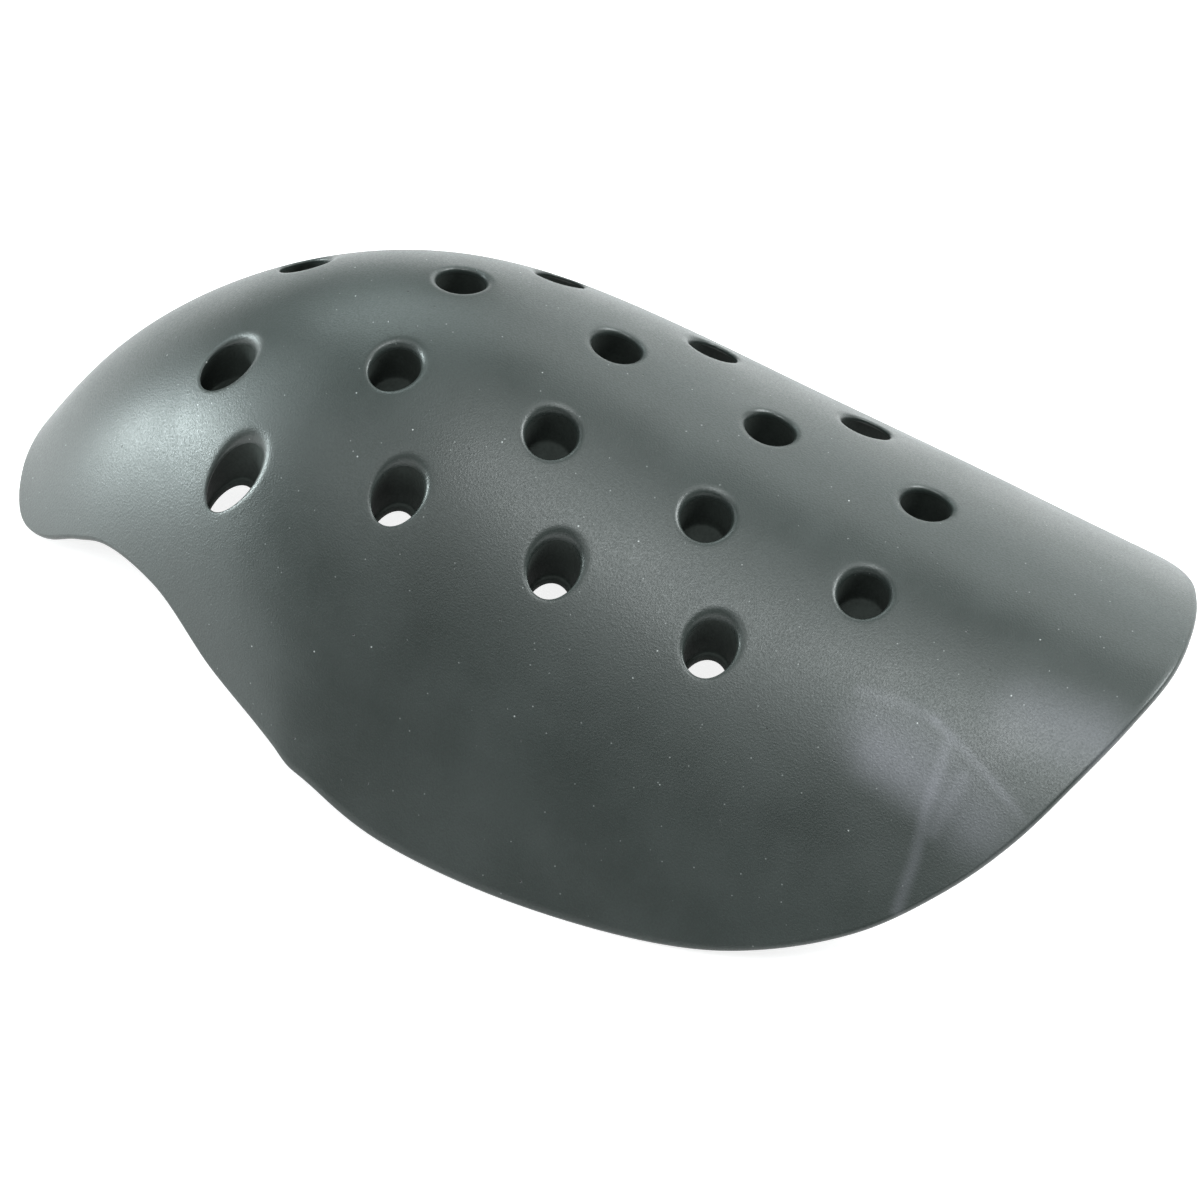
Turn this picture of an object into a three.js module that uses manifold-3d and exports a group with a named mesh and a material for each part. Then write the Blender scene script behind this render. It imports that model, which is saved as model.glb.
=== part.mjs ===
// Moulded foam shoulder protector: one curved shell with a domed shoulder cup at -X,
// two flared wings and a straight crown that ends in a rounded tongue at +X.
// Units are millimetres, +Z is up, and the pad stands on its rim as it does on a table.
import * as THREE from 'three';
import { mergeVertices } from 'three/addons/utils/BufferGeometryUtils.js';
import Module from 'manifold-3d';

const wasm = await Module();
wasm.setup();

// Driving dimensions. The shell is described as it lies in its mould, whose opening
// direction is the axis of every hole, and is turned to how it stands at the end.
const PAD_LENGTH = 227.6;          // left rim to right rim along the mould's base
const PAD_RISE = 78.8;             // left rim to the top of the ridge, in the mould
const CROWN_RADIUS = 46.3;         // largest radius of the ridge's cross-section
const RIM_REACH = 96.6;            // longest way over the surface, ridge to rim
const CROWN_WALL = 11.0;           // foam thickness along the ridge and the hole rows
const RIM_WALL = 2.2;              // thickness at the feathered rim
const TAPER_WIDTH = 56.0;          // way over which the wall thins out towards the rim
const TAPER_POWER = 1.4;

const HOLE_PITCH = 32.25;          // holes of a row, along X
const INNER_ROW_OFFSET = 12.8;     // rows of holes from the centre line
const OUTER_ROW_OFFSET = 31.5;
const HOLE_RADIUS = 4.7;
const LIP_ROUND = 1.5;             // rounding where a hole opens on the outer face
const LEDGE_HEIGHT = 2.0;          // thin moulded ledge above the inner face
const LEDGE_RADIUS = 4.2;
const FLOOR_WALL = 2.0;            // foam left under a hole that doesn't go through
const FLOOR_ROUND = 0.5;

// Stations at equal steps over the ridge, from the left rim to the right rim.
// along and rise are shares of PAD_LENGTH and PAD_RISE, crown is the radius as a share of
// CROWN_RADIUS, flank is the slope in degrees that the sides level out to.
const RIDGE_STATIONS = [
  { along: 0.0000, rise: 0.0000, crown: 0.770, flank: 63.3 },
  { along: 0.0427, rise: 0.2796, crown: 0.757, flank: 62.4 },
  { along: 0.1013, rise: 0.5336, crown: 0.758, flank: 61.7 },
  { along: 0.1748, rise: 0.7529, crown: 0.783, flank: 61.4 },
  { along: 0.2638, rise: 0.9166, crown: 0.819, flank: 61.8 },
  { along: 0.3655, rise: 0.9975, crown: 0.855, flank: 62.6 },
  { along: 0.4712, rise: 0.9996, crown: 0.913, flank: 63.1 },
  { along: 0.5766, rise: 0.9715, crown: 0.982, flank: 62.7 },
  { along: 0.6824, rise: 0.9583, crown: 1.000, flank: 61.0 },
  { along: 0.7882, rise: 0.9575, crown: 0.961, flank: 57.9 },
  { along: 0.8941, rise: 0.9548, crown: 0.906, flank: 53.7 },
  { along: 1.0000, rise: 0.9487, crown: 0.851, flank: 48.7 },
];

// Half of the rim, laid out flat: share of the way over the ridge against share of RIM_REACH.
const RIM_POINTS = [
  { over: 0.0000, reach: 0.000 },
  { over: 0.0010, reach: 0.124 },
  { over: 0.0095, reach: 0.250 },
  { over: 0.0380, reach: 0.330 },
  { over: 0.0851, reach: 0.387 },
  { over: 0.1296, reach: 0.440 },
  { over: 0.1839, reach: 0.560 },
  { over: 0.2382, reach: 0.746 },
  { over: 0.3073, reach: 0.866 },
  { over: 0.3863, reach: 0.934 },
  { over: 0.4752, reach: 0.964 },
  { over: 0.5739, reach: 0.997 },
  { over: 0.6727, reach: 0.969 },
  { over: 0.8029, reach: 0.868 },
  { over: 0.8846, reach: 0.725 },
  { over: 0.9300, reach: 0.578 },
  { over: 0.9598, reach: 0.433 },
  { over: 0.9788, reach: 0.289 },
  { over: 0.9930, reach: 0.145 },
  { over: 1.0000, reach: 0.000 },
];

// Rows of holes in the mould. start is the first hole's place as a share of PAD_LENGTH,
// spread is how much further out than its row the first hole sits, and count the row's holes.
// Holes that don't go through end on a thin floor of foam.
const HOLE_ROWS = [
  { start: 0.1894, offset: INNER_ROW_OFFSET, spread: 0.16, count: 5, through: false },
  { start: 0.2417, offset: OUTER_ROW_OFFSET, spread: 0.03, count: 4, through: true },
];

const RIM_STEPS = 54;              // facets along half of the rim
const OUTER_RINGS = 12;            // facets from the ridge to the rim, outer face
const INNER_RINGS = 8;
const HOLE_SIDES = 16;
const RIDGE_INSET = 0.06;          // how far inside the rim the ridge line's fan starts
const RIM_BULGE = 0.3;             // rounding of the rim's edge, share of its thickness

// Natural cubic spline through values at equal steps of 0..1.
function evenSpline(values) {
  const last = values.length - 1;
  const bend = new Array(last + 1).fill(0);
  const scale = new Array(last + 1).fill(0);
  for (let i = 1; i < last; i += 1) {
    const pivot = 4 + scale[i - 1];
    const jump = 6 * (values[i + 1] - 2 * values[i] + values[i - 1]);
    scale[i] = -1 / pivot;
    bend[i] = (jump - bend[i - 1]) / pivot;
  }
  for (let i = last - 1; i > 0; i -= 1) bend[i] += scale[i] * bend[i + 1];
  return (share) => {
    const at = share * last;
    const i = Math.min(Math.max(Math.floor(at), 0), last - 1);
    const b = at - i;
    const a = 1 - b;
    return a * values[i] + b * values[i + 1]
      + ((a * a * a - a) * bend[i] + (b * b * b - b) * bend[i + 1]) / 6;
  };
}

const column = (name, factor) => evenSpline(RIDGE_STATIONS.map((row) => row[name] * factor));
const ridgeX = column('along', PAD_LENGTH);
const ridgeZ = column('rise', PAD_RISE);
const crownRadius = column('crown', CROWN_RADIUS);
const flankSlope = column('flank', Math.PI / 180);

// Way over the ridge from the left rim to the right rim.
const ridgeParts = 400;
const ridgeLength = Array.from({ length: ridgeParts }, (_, i) => Math.hypot(
  ridgeX((i + 1) / ridgeParts) - ridgeX(i / ridgeParts),
  ridgeZ((i + 1) / ridgeParts) - ridgeZ(i / ridgeParts),
)).reduce((sum, piece) => sum + piece, 0);

// Point of the outer face: share over the ridge, and way from the ridge over the surface.
// Each cross-section bends round the crown and levels out into a straight flank.
function outerPoint(share, way) {
  const step = 1e-3;
  const run = ridgeX(share + step) - ridgeX(share - step);
  const climb = ridgeZ(share + step) - ridgeZ(share - step);
  const pace = Math.hypot(run, climb);
  const radius = crownRadius(share);
  const slope = flankSlope(share);
  const parts = 24;
  let across = 0;
  let down = 0;
  for (let i = 0; i < parts; i += 1) {
    const reached = (Math.abs(way) * (i + 0.5)) / parts;
    const angle = slope * Math.tanh(reached / (radius * slope));
    across += (Math.cos(angle) * Math.abs(way)) / parts;
    down += (Math.sin(angle) * Math.abs(way)) / parts;
  }
  return new THREE.Vector3(
    ridgeX(share) + (down * climb) / pace,
    Math.sign(way) * across,
    ridgeZ(share) - (down * run) / pace,
  );
}

function outerNormal(share, way) {
  const overRidge = outerPoint(share + 2e-3, way).sub(outerPoint(share - 2e-3, way));
  const acrossPad = outerPoint(share, way + 0.5).sub(outerPoint(share, way - 0.5));
  return overRidge.cross(acrossPad).normalize();
}

// The rim as a closed curve on the laid-out surface, x over the ridge and y across it.
const halfRim = RIM_POINTS.map(({ over, reach }) => (
  new THREE.Vector3(over * ridgeLength, reach * RIM_REACH, 0)));
const otherHalf = halfRim.slice(1, -1).reverse().map((p) => new THREE.Vector3(p.x, -p.y, 0));
const rimCurve = new THREE.CatmullRomCurve3([...halfRim, ...otherHalf], true, 'centripetal');
rimCurve.arcLengthDivisions = 2000;
const rimLoop = rimCurve.getSpacedPoints(2 * RIM_STEPS);

// Spokes run from the ridge line out to the rim, evenly spaced along the rim.
const spokes = Array.from({ length: 2 * RIM_STEPS }, (_, i) => {
  const turn = i <= RIM_STEPS ? i / RIM_STEPS : 2 - i / RIM_STEPS;
  const inset = RIDGE_INSET + (1 - 2 * RIDGE_INSET) * (0.5 - 0.5 * Math.cos(Math.PI * turn));
  const foot = new THREE.Vector3(inset * ridgeLength, 0, 0);
  return { foot, tip: rimLoop[i], station: Math.min(i, 2 * RIM_STEPS - i) };
});

// Smooth distance of a laid-out point from the rim: exact beside a straight stretch of
// rim, and less where rim lies on both sides, so that the narrow cup stays thinner.
const rimTrace = rimCurve.getSpacedPoints(480);
const rimPiece = rimCurve.getLength() / 480;
function rimDistance(flat) {
  let pull = 0;
  for (let i = 0; i < 480; i += 1) {
    pull += rimPiece / Math.max(flat.distanceTo(rimTrace[i]), 0.5 * rimPiece) ** 3;
  }
  return Math.sqrt(2 / pull);
}

// The foam is feathered at the rim and full TAPER_WIDTH inside it.
function wallAt(flat, ring) {
  if (ring === 1) return RIM_WALL;
  const inward = Math.min(rimDistance(flat) / TAPER_WIDTH, 1);
  const growth = Math.sin((Math.PI / 2) * inward) ** TAPER_POWER;
  return RIM_WALL + (CROWN_WALL - RIM_WALL) * growth;
}

// One face of the shell as rings of points; depth 0 is the outer face, 1 the inner face.
function facePoint(spoke, ring, depth) {
  const flat = spoke.foot.clone().lerp(spoke.tip, ring);
  const share = flat.x / ridgeLength;
  const wall = wallAt(flat, ring);
  return outerPoint(share, flat.y).addScaledVector(outerNormal(share, flat.y), -wall * depth);
}

// Collects points and triangles of one face; returns the index of each rim point.
function addFace(points, triangles, rings, depth) {
  const start = points.length;
  const flip = depth > 0;
  for (let s = 0; s <= RIM_STEPS; s += 1) points.push(facePoint(spokes[s], 0, depth));
  const rows = spokes.map((spoke) => {
    const row = [start + spoke.station];
    for (let r = 1; r <= rings; r += 1) {
      row.push(points.length);
      points.push(facePoint(spoke, r / rings, depth));
    }
    return row;
  });
  const add = (a, b, c) => {
    if (a === b || b === c || a === c) return;
    triangles.push(...(flip ? [a, c, b] : [a, b, c]));
  };
  rows.forEach((row, i) => {
    const next = rows[(i + 1) % rows.length];
    for (let r = 0; r < rings; r += 1) {
      add(row[r], next[r], next[r + 1]);
      add(row[r], next[r + 1], row[r + 1]);
    }
  });
  return rows.map((row) => row[rings]);
}

function makeShell() {
  const points = [];
  const triangles = [];
  const outerRim = addFace(points, triangles, OUTER_RINGS, 0);
  const outerCount = triangles.length;
  const innerRim = addFace(points, triangles, INNER_RINGS, 1);
  const innerCount = triangles.length;
  const edgeRim = spokes.map((spoke, i) => {
    const inside = facePoint(spoke, 1 - 1 / OUTER_RINGS, 0);
    const outward = points[outerRim[i]].clone().sub(inside).normalize();
    const middle = points[outerRim[i]].clone().lerp(points[innerRim[i]], 0.5);
    points.push(middle.addScaledVector(outward, RIM_BULGE * RIM_WALL));
    return points.length - 1;
  });
  spokes.forEach((_, i) => {
    const j = (i + 1) % spokes.length;
    for (const [upper, lower] of [[outerRim, edgeRim], [edgeRim, innerRim]]) {
      triangles.push(upper[i], upper[j], lower[j], upper[i], lower[j], lower[i]);
    }
  });
  return {
    points,
    triangles,
    outer: triangles.slice(0, outerCount),
    inner: triangles.slice(outerCount, innerCount),
  };
}

// Height of a face above a spot of the mould's base.
function heightOver(points, triangles, x, y) {
  for (let t = 0; t < triangles.length; t += 3) {
    const [a, b, c] = [points[triangles[t]], points[triangles[t + 1]], points[triangles[t + 2]]];
    const area = (b.x - a.x) * (c.y - a.y) - (c.x - a.x) * (b.y - a.y);
    const u = ((x - a.x) * (c.y - a.y) - (c.x - a.x) * (y - a.y)) / area;
    const v = ((b.x - a.x) * (y - a.y) - (x - a.x) * (b.y - a.y)) / area;
    if (u >= -1e-9 && v >= -1e-9 && u + v <= 1 + 1e-9) {
      return a.z + u * (b.z - a.z) + v * (c.z - a.z);
    }
  }
  throw new Error(`no face over ${x}, ${y}`);
}

function toSolid(points, triangles) {
  const geometry = new THREE.BufferGeometry();
  geometry.setAttribute('position', new THREE.Float32BufferAttribute(
    points.flatMap((p) => [p.x, p.y, p.z]), 3));
  geometry.setIndex(triangles);
  const merged = mergeVertices(geometry, 1e-4);
  return new wasm.Manifold(new wasm.Mesh({
    numProp: 3,
    vertProperties: Float32Array.from(merged.attributes.position.array),
    triVerts: Uint32Array.from(merged.index.array),
  }));
}

// A hole's plug: its lip follows the outer face all round, and its ledge or its floor the
// inner face.
function makePlug(shell, centreX, centreY, through) {
  const ledge = [
    { radius: HOLE_RADIUS, face: 'inner', lift: LEDGE_HEIGHT },
    { radius: LEDGE_RADIUS, face: 'inner', lift: 0.8 * LEDGE_HEIGHT },
    { radius: LEDGE_RADIUS, face: 'inner', lift: -3.0 },
  ];
  const floor = [
    { radius: HOLE_RADIUS, face: 'inner', lift: FLOOR_WALL + FLOOR_ROUND },
    { radius: HOLE_RADIUS - FLOOR_ROUND, face: 'inner', lift: FLOOR_WALL },
  ];
  const rings = [
    { radius: HOLE_RADIUS + 1.25 * LIP_ROUND, face: 'outer', lift: 6.0 },
    { radius: HOLE_RADIUS + 1.25 * LIP_ROUND, face: 'outer', lift: 0.45 },
    { radius: HOLE_RADIUS + 0.42 * LIP_ROUND, face: 'outer', lift: -0.24 * LIP_ROUND },
    { radius: HOLE_RADIUS + 0.12 * LIP_ROUND, face: 'outer', lift: -0.56 * LIP_ROUND },
    { radius: HOLE_RADIUS, face: 'outer', lift: -1.1 * LIP_ROUND },
    ...(through ? ledge : floor),
  ];
  const points = [];
  const triangles = [];
  for (const { radius, face, lift } of rings) {
    for (let k = 0; k < HOLE_SIDES; k += 1) {
      const turn = (2 * Math.PI * (k + 0.5)) / HOLE_SIDES;
      const x = centreX + radius * Math.cos(turn);
      const y = centreY + radius * Math.sin(turn);
      const z = heightOver(shell.points, shell[face], x, y) + lift;
      points.push(new THREE.Vector3(x, y, z));
    }
  }
  for (let r = 0; r < rings.length - 1; r += 1) {
    for (let k = 0; k < HOLE_SIDES; k += 1) {
      const a = r * HOLE_SIDES + k;
      const b = r * HOLE_SIDES + ((k + 1) % HOLE_SIDES);
      const [c, d] = [a + HOLE_SIDES, b + HOLE_SIDES];
      triangles.push(a, c, d, a, d, b);
    }
  }
  const lastRing = (rings.length - 1) * HOLE_SIDES;
  for (let k = 1; k < HOLE_SIDES - 1; k += 1) {
    triangles.push(0, k, k + 1);
    triangles.push(lastRing, lastRing + k + 1, lastRing + k);
  }
  return toSolid(points, triangles);
}

function makePad() {
  const shell = makeShell();
  let solid = toSolid(shell.points, shell.triangles);
  for (const row of HOLE_ROWS) {
    for (let i = 0; i < row.count; i += 1) {
      const x = row.start * PAD_LENGTH + i * HOLE_PITCH;
      const offset = row.offset * (i === 0 ? 1 + row.spread : 1);
      for (const side of [-1, 1]) {
        solid = solid.subtract(makePlug(shell, x, side * offset, row.through));
      }
    }
  }
  const { vertProperties, triVerts } = solid.getMesh();
  const geometry = new THREE.BufferGeometry();
  geometry.setAttribute('position', new THREE.BufferAttribute(vertProperties, 3));
  geometry.setIndex(new THREE.BufferAttribute(triVerts, 1));
  return geometry;
}

const foam = new THREE.MeshStandardMaterial({ color: 0x3d4442, roughness: 0.62, metalness: 0 });
const pad = new THREE.Mesh(makePad(), foam);
pad.name = 'pad_shell';

// The pad stands on the cup's end and on both wings at once: it is turned about Y until
// the lowest point of its cup and the lowest point behind the cup are level.
function restTurn(geometry) {
  const { array } = geometry.attributes.position;
  const lowest = (turn, from, to) => {
    let low = Infinity;
    for (let i = 0; i < array.length; i += 3) {
      if (array[i] < from || array[i] > to) continue;
      low = Math.min(low, array[i + 2] * Math.cos(turn) - array[i] * Math.sin(turn));
    }
    return low;
  };
  const cupEnd = 0.25 * PAD_LENGTH;
  let [less, more] = [-0.5, 0.7];
  for (let i = 0; i < 40; i += 1) {
    const turn = (less + more) / 2;
    const cupHigher = lowest(turn, -Infinity, cupEnd) > lowest(turn, cupEnd, Infinity);
    if (cupHigher) more = turn;
    else less = turn;
  }
  return (less + more) / 2;
}

const mould = new THREE.Group();
mould.rotation.y = restTurn(pad.geometry);
mould.add(pad);
const protector = new THREE.Group();
protector.add(mould);
protector.updateMatrixWorld(true);
const box = new THREE.Box3().setFromObject(pad, true);
const middle = box.getCenter(new THREE.Vector3());
mould.position.set(-middle.x, -middle.y, -box.min.z);

export default protector;
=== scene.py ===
"""Moulded foam shoulder protector, standing on its rim on a pale studio floor.

The pad is one foam shell: a domed shoulder cup, a waist on each side, two flared wings
and a straight crown that ends in a rounded tongue. Four rows of ventilation holes run
through it along the opening direction of its mould. Lengths are millimetres in the mould's
frame until the finished mesh is turned and set down in the part's own frame, in metres.
"""

from __future__ import annotations

import logging
import math
from dataclasses import dataclass, field
from enum import Enum

import bmesh
import bpy
import numpy as np
from bmesh.types import BMEdge, BMesh, BMFace, BMVert
from mathutils import Euler, Matrix, Vector, noise

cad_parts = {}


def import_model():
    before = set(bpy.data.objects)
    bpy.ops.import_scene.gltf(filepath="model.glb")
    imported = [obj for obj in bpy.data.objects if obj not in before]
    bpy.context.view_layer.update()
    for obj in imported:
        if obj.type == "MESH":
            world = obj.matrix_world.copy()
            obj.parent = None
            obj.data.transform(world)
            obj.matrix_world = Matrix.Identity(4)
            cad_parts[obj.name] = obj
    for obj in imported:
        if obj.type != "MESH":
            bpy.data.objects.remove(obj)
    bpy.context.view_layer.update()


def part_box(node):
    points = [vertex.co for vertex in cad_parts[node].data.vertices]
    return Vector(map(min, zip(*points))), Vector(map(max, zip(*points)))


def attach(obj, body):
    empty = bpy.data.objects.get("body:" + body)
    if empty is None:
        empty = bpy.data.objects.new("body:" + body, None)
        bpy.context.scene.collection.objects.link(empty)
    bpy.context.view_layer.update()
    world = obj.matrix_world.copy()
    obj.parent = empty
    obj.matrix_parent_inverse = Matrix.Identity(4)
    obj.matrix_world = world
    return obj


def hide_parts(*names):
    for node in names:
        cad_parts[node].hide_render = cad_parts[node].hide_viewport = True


LOG = logging.getLogger("shoulder_protector")
PAD_NODE = "pad_shell"
MM = 0.001


class Face(Enum):
    """The two faces of the shell."""

    OUTER = 0
    INNER = 1


class Finish(Enum):
    """The pad's two finishes, by their place in its list of materials."""

    SKIN = 0
    BORE = 1


@dataclass(frozen=True)
class RidgeStation:
    """One of the equal steps over the ridge, from the cup's rim to the tongue's rim.

    along and rise are shares of the pad's length and rise, crown is the radius as a share
    of the crown radius, and flank is the slope in degrees that the sides level out to.
    """

    along: float
    rise: float
    crown: float
    flank: float


@dataclass(frozen=True)
class RimPoint:
    """A point of half the rim laid out flat, as shares of the ridge's way and the reach."""

    over: float
    reach: float


@dataclass(frozen=True)
class HoleRow:
    """A row of ventilation holes on each side of the centre line.

    start is the first hole's place as a share of the pad's length, and spread is how much
    further out than its row the first hole sits. Holes that don't go through the foam end
    on a thin floor.
    """

    start: float
    offset: float
    spread: float
    count: int
    through: bool


RIDGE_STATIONS = (
    RidgeStation(along=0.0000, rise=0.0000, crown=0.770, flank=63.3),
    RidgeStation(along=0.0427, rise=0.2796, crown=0.757, flank=62.4),
    RidgeStation(along=0.1013, rise=0.5336, crown=0.758, flank=61.7),
    RidgeStation(along=0.1748, rise=0.7529, crown=0.783, flank=61.4),
    RidgeStation(along=0.2638, rise=0.9166, crown=0.819, flank=61.8),
    RidgeStation(along=0.3655, rise=0.9975, crown=0.855, flank=62.6),
    RidgeStation(along=0.4712, rise=0.9996, crown=0.913, flank=63.1),
    RidgeStation(along=0.5766, rise=0.9715, crown=0.982, flank=62.7),
    RidgeStation(along=0.6824, rise=0.9583, crown=1.000, flank=61.0),
    RidgeStation(along=0.7882, rise=0.9575, crown=0.961, flank=57.9),
    RidgeStation(along=0.8941, rise=0.9548, crown=0.906, flank=53.7),
    RidgeStation(along=1.0000, rise=0.9487, crown=0.851, flank=48.7),
)

RIM_POINTS = (
    RimPoint(over=0.0000, reach=0.000),
    RimPoint(over=0.0010, reach=0.124),
    RimPoint(over=0.0095, reach=0.250),
    RimPoint(over=0.0380, reach=0.330),
    RimPoint(over=0.0851, reach=0.387),
    RimPoint(over=0.1296, reach=0.440),
    RimPoint(over=0.1839, reach=0.560),
    RimPoint(over=0.2382, reach=0.746),
    RimPoint(over=0.3073, reach=0.866),
    RimPoint(over=0.3863, reach=0.934),
    RimPoint(over=0.4752, reach=0.964),
    RimPoint(over=0.5739, reach=0.997),
    RimPoint(over=0.6727, reach=0.969),
    RimPoint(over=0.8029, reach=0.868),
    RimPoint(over=0.8846, reach=0.725),
    RimPoint(over=0.9300, reach=0.578),
    RimPoint(over=0.9598, reach=0.433),
    RimPoint(over=0.9788, reach=0.289),
    RimPoint(over=0.9930, reach=0.145),
    RimPoint(over=1.0000, reach=0.000),
)


class EvenSpline:
    """Natural cubic spline through values at equal steps of 0..1."""

    def __init__(self, values: list[float]) -> None:
        """Solves the spline's bends.

        Args:
            values: the values at equal steps.
        """
        self.values = np.array(values, float)
        self.last = len(values) - 1
        inner = self.last - 1
        matrix = 4.0 * np.eye(inner) + np.eye(inner, k=1) + np.eye(inner, k=-1)
        jumps = 6.0 * np.diff(self.values, 2)
        self.bend = np.zeros(self.last + 1)
        self.bend[1:-1] = np.linalg.solve(matrix, jumps)

    def at(self, share: np.ndarray) -> np.ndarray:
        """Values at the given shares, continued by the end pieces beyond 0..1."""
        place = np.asarray(share, float) * self.last
        step = np.clip(np.floor(place), 0, self.last - 1).astype(int)
        later = place - step
        sooner = 1.0 - later
        straight = sooner * self.values[step] + later * self.values[step + 1]
        curved = (sooner**3 - sooner) * self.bend[step] + (later**3 - later) * self.bend[step + 1]
        return straight + curved / 6.0


@dataclass
class ShellForm:
    """The shell's curved wall as formulas, in the mould's frame.

    A laid-out point holds the way over the ridge and the way across the pad, both measured
    over the outer face. The sizes are the pad's own, the samples and parts say how finely
    its curves are followed, and find's settings steer the search for a laid-out point.
    """

    pad_length: float = 227.6
    pad_rise: float = 78.8
    crown_radius: float = 46.3
    rim_reach: float = 96.6
    crown_wall: float = 11.0
    rim_wall: float = 2.2
    taper_width: float = 56.0
    taper_power: float = 1.4
    rim_samples: int = 480
    rim_parts: int = 40
    ridge_parts: int = 2000
    section_parts: int = 24
    ridge_step: float = 1e-3
    normal_over: float = 2e-3
    normal_across: float = 0.5
    pull_power: int = 3
    find_tries: int = 14
    find_nudge: float = 0.1
    find_stride: float = 6.0
    find_close: float = 1e-5
    ridge_length: float = field(init=False)

    def __post_init__(self) -> None:
        """Prepares the splines, the ridge's way and the rim."""
        self.ridge_x = EvenSpline([row.along * self.pad_length for row in RIDGE_STATIONS])
        self.ridge_z = EvenSpline([row.rise * self.pad_rise for row in RIDGE_STATIONS])
        self.radius = EvenSpline([row.crown * self.crown_radius for row in RIDGE_STATIONS])
        self.slope = EvenSpline([math.radians(row.flank) for row in RIDGE_STATIONS])
        shares = np.linspace(0.0, 1.0, self.ridge_parts + 1)
        runs = np.diff(self.ridge_x.at(shares))
        climbs = np.diff(self.ridge_z.at(shares))
        self.ridge_length = float(np.hypot(runs, climbs).sum())
        self.rim = self.trace_rim()

    def trace_rim(self) -> np.ndarray:
        """The laid-out rim as a fine closed trace.

        Returns:
            Points of a closed centripetal curve through the rim's points.
        """
        half = [(p.over * self.ridge_length, p.reach * self.rim_reach) for p in RIM_POINTS]
        other = [(x, -y) for x, y in reversed(half[1:-1])]
        points = np.array(half + other)
        shares = np.linspace(0.0, 1.0, self.rim_parts, endpoint=False)[:, None]
        pieces = []
        for i in range(len(points)):
            before, start, end, after = (points[(i + k) % len(points)] for k in (-1, 0, 1, 2))
            pace_a = math.sqrt(np.linalg.norm(start - before))
            pace_b = math.sqrt(np.linalg.norm(end - start))
            pace_c = math.sqrt(np.linalg.norm(after - end))
            mean = (end - start) / pace_b
            leave = (start - before) / pace_a - (end - before) / (pace_a + pace_b) + mean
            arrive = mean - (after - start) / (pace_b + pace_c) + (after - end) / pace_c
            leave = leave * pace_b
            arrive = arrive * pace_b
            square = -3.0 * start + 3.0 * end - 2.0 * leave - arrive
            cube = 2.0 * start - 2.0 * end + leave + arrive
            pieces.append(start + leave * shares + square * shares**2 + cube * shares**3)
        return np.concatenate(pieces + [points[:1]])

    def rim_way(self) -> np.ndarray:
        """Way along the rim's trace from the cup's end, for each of its points."""
        steps = np.hypot(*np.diff(self.rim, axis=0).T)
        return np.concatenate([[0.0], np.cumsum(steps)])

    def rim_at(self, ways: np.ndarray) -> np.ndarray:
        """Laid-out points of the rim at the given ways along it."""
        reached = self.rim_way()
        return np.stack([np.interp(ways, reached, self.rim[:, k]) for k in (0, 1)], axis=-1)

    def outer(self, flat: np.ndarray) -> np.ndarray:
        """Points of the outer face.

        Args:
            flat: laid-out points, one a row.

        Returns:
            Points in the mould's frame, one a row.
        """
        share = flat[:, 0] / self.ridge_length
        way = flat[:, 1]
        step = self.ridge_step
        run = self.ridge_x.at(share + step) - self.ridge_x.at(share - step)
        climb = self.ridge_z.at(share + step) - self.ridge_z.at(share - step)
        pace = np.hypot(run, climb)
        slope = self.slope.at(share)
        bend = self.radius.at(share) * slope
        middles = (np.arange(self.section_parts) + 0.5) / self.section_parts
        reached = np.abs(way)[:, None] * middles
        angle = slope[:, None] * np.tanh(reached / bend[:, None])
        across = np.cos(angle).mean(axis=1) * way
        down = np.sin(angle).mean(axis=1) * np.abs(way)
        x = self.ridge_x.at(share) + down * climb / pace
        z = self.ridge_z.at(share) - down * run / pace
        return np.stack([x, across, z], axis=-1)

    def normal(self, flat: np.ndarray) -> np.ndarray:
        """Outward normals of the outer face at laid-out points."""
        over = np.array([self.normal_over * self.ridge_length, 0.0])
        across = np.array([0.0, self.normal_across])
        along_ridge = self.outer(flat + over) - self.outer(flat - over)
        across_pad = self.outer(flat + across) - self.outer(flat - across)
        normal = np.cross(along_ridge, across_pad)
        return normal / np.linalg.norm(normal, axis=1)[:, None]

    def wall(self, flat: np.ndarray) -> np.ndarray:
        """Foam thickness at laid-out points: feathered at the rim, full far inside it."""
        way = self.rim_way()
        total = way[-1]
        piece = total / self.rim_samples
        trace = self.rim_at(np.arange(self.rim_samples) * piece)
        gaps = np.linalg.norm(flat[:, None, :] - trace[None, :, :], axis=2)
        pull = (piece / np.maximum(gaps, 0.5 * piece) ** self.pull_power).sum(axis=1)
        inward = np.minimum(np.sqrt(2.0 / pull) / self.taper_width, 1.0)
        growth = np.sin(0.5 * math.pi * inward) ** self.taper_power
        return self.rim_wall + (self.crown_wall - self.rim_wall) * growth

    def point(self, flat: np.ndarray, face: Face) -> np.ndarray:
        """Points of one face at laid-out points."""
        outer = self.outer(flat)
        if face is Face.OUTER:
            return outer
        return outer - self.normal(flat) * self.wall(flat)[:, None]

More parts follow.
